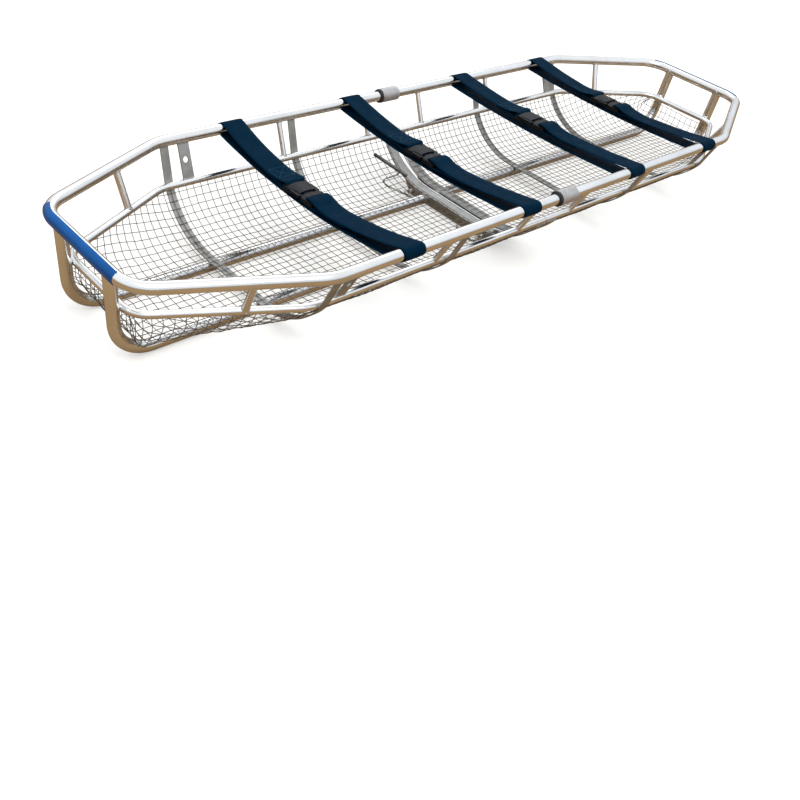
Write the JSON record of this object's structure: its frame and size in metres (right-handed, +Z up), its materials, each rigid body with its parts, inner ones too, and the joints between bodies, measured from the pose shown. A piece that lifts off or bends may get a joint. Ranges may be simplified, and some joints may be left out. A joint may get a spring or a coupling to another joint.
{
  "type": "two-piece basket stretcher",
  "caption": "Rescue basket stretcher of bent steel tube and wire mesh that comes apart into two halves, with webbing straps and sliding rail couplings.",
  "frame": {"origin": "middle of the footprint, on the ground under the runners", "axes": "+X towards the foot end along the length, +Y to the left side, +Z up"},
  "size_m": [2.1028, 0.616, 0.226],
  "materials": {
    "tube_steel": "polished stainless tube, mill marks along its length",
    "bar_steel": "dull rolled stainless flat bar",
    "wire_steel": "galvanised steel wire mesh",
    "cast_alloy": "bead-blasted cast alloy",
    "seal_rubber": "matt black rubber",
    "pin_steel": "bright plated steel",
    "chain_steel": "dull plated link chain",
    "dark_steel": "blackened steel",
    "pad_blue": "glossy blue plastic",
    "webbing": "navy polyester webbing",
    "buckle_plastic": "black moulded acetal"
  },
  "bodies": {
    "head_half": {"head_top_rail": "tube_steel", "head_lower_rail": "tube_steel", "head_runner_left": "tube_steel", "head_lifting_eye_left": "bar_steel", "head_runner_right": "tube_steel", "head_lifting_eye_right": "bar_steel", "head_rib_bend": "bar_steel", "head_rib_inner": "bar_steel", "head_mid_frame": "bar_steel", "head_struts": "tube_steel", "head_mesh": "wire_steel", "head_end_pad": "pad_blue", "carry_grip": "pad_blue", "lanyard_bar_left": "dark_steel", "lanyard_bar_right": "dark_steel", "lanyard_chain_left": "chain_steel", "lanyard_chain_right": "chain_steel", "strap_1": "webbing", "buckle_1_socket": "buckle_plastic", "buckle_1_plug": "buckle_plastic", "strap_2": "webbing", "buckle_2_socket": "buckle_plastic", "buckle_2_plug": "buckle_plastic"},
    "foot_half": {"foot_top_rail": "tube_steel", "foot_lower_rail": "tube_steel", "foot_runner_left": "tube_steel", "foot_lifting_eye_left": "bar_steel", "foot_runner_right": "tube_steel", "foot_lifting_eye_right": "bar_steel", "foot_rib_bend": "bar_steel", "foot_rib_inner": "bar_steel", "foot_mid_frame": "bar_steel", "foot_struts": "tube_steel", "foot_mesh": "wire_steel", "foot_end_pad": "pad_blue", "spigot_left": "pin_steel", "spigot_right": "pin_steel", "strap_3": "webbing", "buckle_3_socket": "buckle_plastic", "buckle_3_plug": "buckle_plastic", "strap_4": "webbing", "buckle_4_socket": "buckle_plastic", "buckle_4_plug": "buckle_plastic"},
    "collar_left": {"coupling_collar_left": "cast_alloy", "collar_seal_left": "seal_rubber"},
    "pin_left": {"lock_pin_left": "pin_steel"},
    "collar_right": {"coupling_collar_right": "cast_alloy", "collar_seal_right": "seal_rubber"},
    "pin_right": {"lock_pin_right": "pin_steel"},
    "buckle_1_button_head": {"buckle_1_prong_head": "buckle_plastic"},
    "buckle_1_button_foot": {"buckle_1_prong_foot": "buckle_plastic"},
    "buckle_2_button_head": {"buckle_2_prong_head": "buckle_plastic"},
    "buckle_2_button_foot": {"buckle_2_prong_foot": "buckle_plastic"},
    "buckle_3_button_head": {"buckle_3_prong_head": "buckle_plastic"},
    "buckle_3_button_foot": {"buckle_3_prong_foot": "buckle_plastic"},
    "buckle_4_button_head": {"buckle_4_prong_head": "buckle_plastic"},
    "buckle_4_button_foot": {"buckle_4_prong_foot": "buckle_plastic"}
  },
  "joints": [
    {"name": "break_apart", "type": "slide", "parent": "head_half", "child": "foot_half", "axis": [1, 0, 0], "range_m": [0, 0.15]},
    {"name": "collar_left_slide", "type": "slide", "parent": "foot_half", "child": "collar_left", "axis": [1, 0, 0], "range_m": [0, 0.05]},
    {"name": "pin_left_pull", "type": "slide", "parent": "head_half", "child": "pin_left", "axis": [-1, 0, 0], "range_m": [0, 0.065]},
    {"name": "collar_right_slide", "type": "slide", "parent": "foot_half", "child": "collar_right", "axis": [1, 0, 0], "range_m": [0, 0.05]},
    {"name": "pin_right_pull", "type": "slide", "parent": "head_half", "child": "pin_right", "axis": [-1, 0, 0], "range_m": [0, 0.065]},
    {"name": "buckle_1_squeeze_head", "type": "slide", "parent": "head_half", "child": "buckle_1_button_head", "axis": [1, 0, 0], "range_m": [0, 0.003], "stiffness_N_per_m": 1500, "springref_m": -0.002},
    {"name": "buckle_1_squeeze_foot", "type": "slide", "parent": "head_half", "child": "buckle_1_button_foot", "axis": [-1, 0, 0], "range_m": [0, 0.003], "stiffness_N_per_m": 1500, "springref_m": -0.002},
    {"name": "buckle_2_squeeze_head", "type": "slide", "parent": "head_half", "child": "buckle_2_button_head", "axis": [1, 0, 0], "range_m": [0, 0.003], "stiffness_N_per_m": 1500, "springref_m": -0.002},
    {"name": "buckle_2_squeeze_foot", "type": "slide", "parent": "head_half", "child": "buckle_2_button_foot", "axis": [-1, 0, 0], "range_m": [0, 0.003], "stiffness_N_per_m": 1500, "springref_m": -0.002},
    {"name": "buckle_3_squeeze_head", "type": "slide", "parent": "foot_half", "child": "buckle_3_button_head", "axis": [1, 0, 0], "range_m": [0, 0.003], "stiffness_N_per_m": 1500, "springref_m": -0.002},
    {"name": "buckle_3_squeeze_foot", "type": "slide", "parent": "foot_half", "child": "buckle_3_button_foot", "axis": [-1, 0, 0], "range_m": [0, 0.003], "stiffness_N_per_m": 1500, "springref_m": -0.002},
    {"name": "buckle_4_squeeze_head", "type": "slide", "parent": "foot_half", "child": "buckle_4_button_head", "axis": [1, 0, 0], "range_m": [0, 0.003], "stiffness_N_per_m": 1500, "springref_m": -0.002},
    {"name": "buckle_4_squeeze_foot", "type": "slide", "parent": "foot_half", "child": "buckle_4_button_foot", "axis": [-1, 0, 0], "range_m": [0, 0.003], "stiffness_N_per_m": 1500, "springref_m": -0.002}
  ],
  "couplings": [
    {"joint": "buckle_1_squeeze_foot", "follows": "buckle_1_squeeze_head", "ratio": 1},
    {"joint": "buckle_2_squeeze_foot", "follows": "buckle_2_squeeze_head", "ratio": 1},
    {"joint": "buckle_3_squeeze_foot", "follows": "buckle_3_squeeze_head", "ratio": 1},
    {"joint": "buckle_4_squeeze_foot", "follows": "buckle_4_squeeze_head", "ratio": 1}
  ]
}
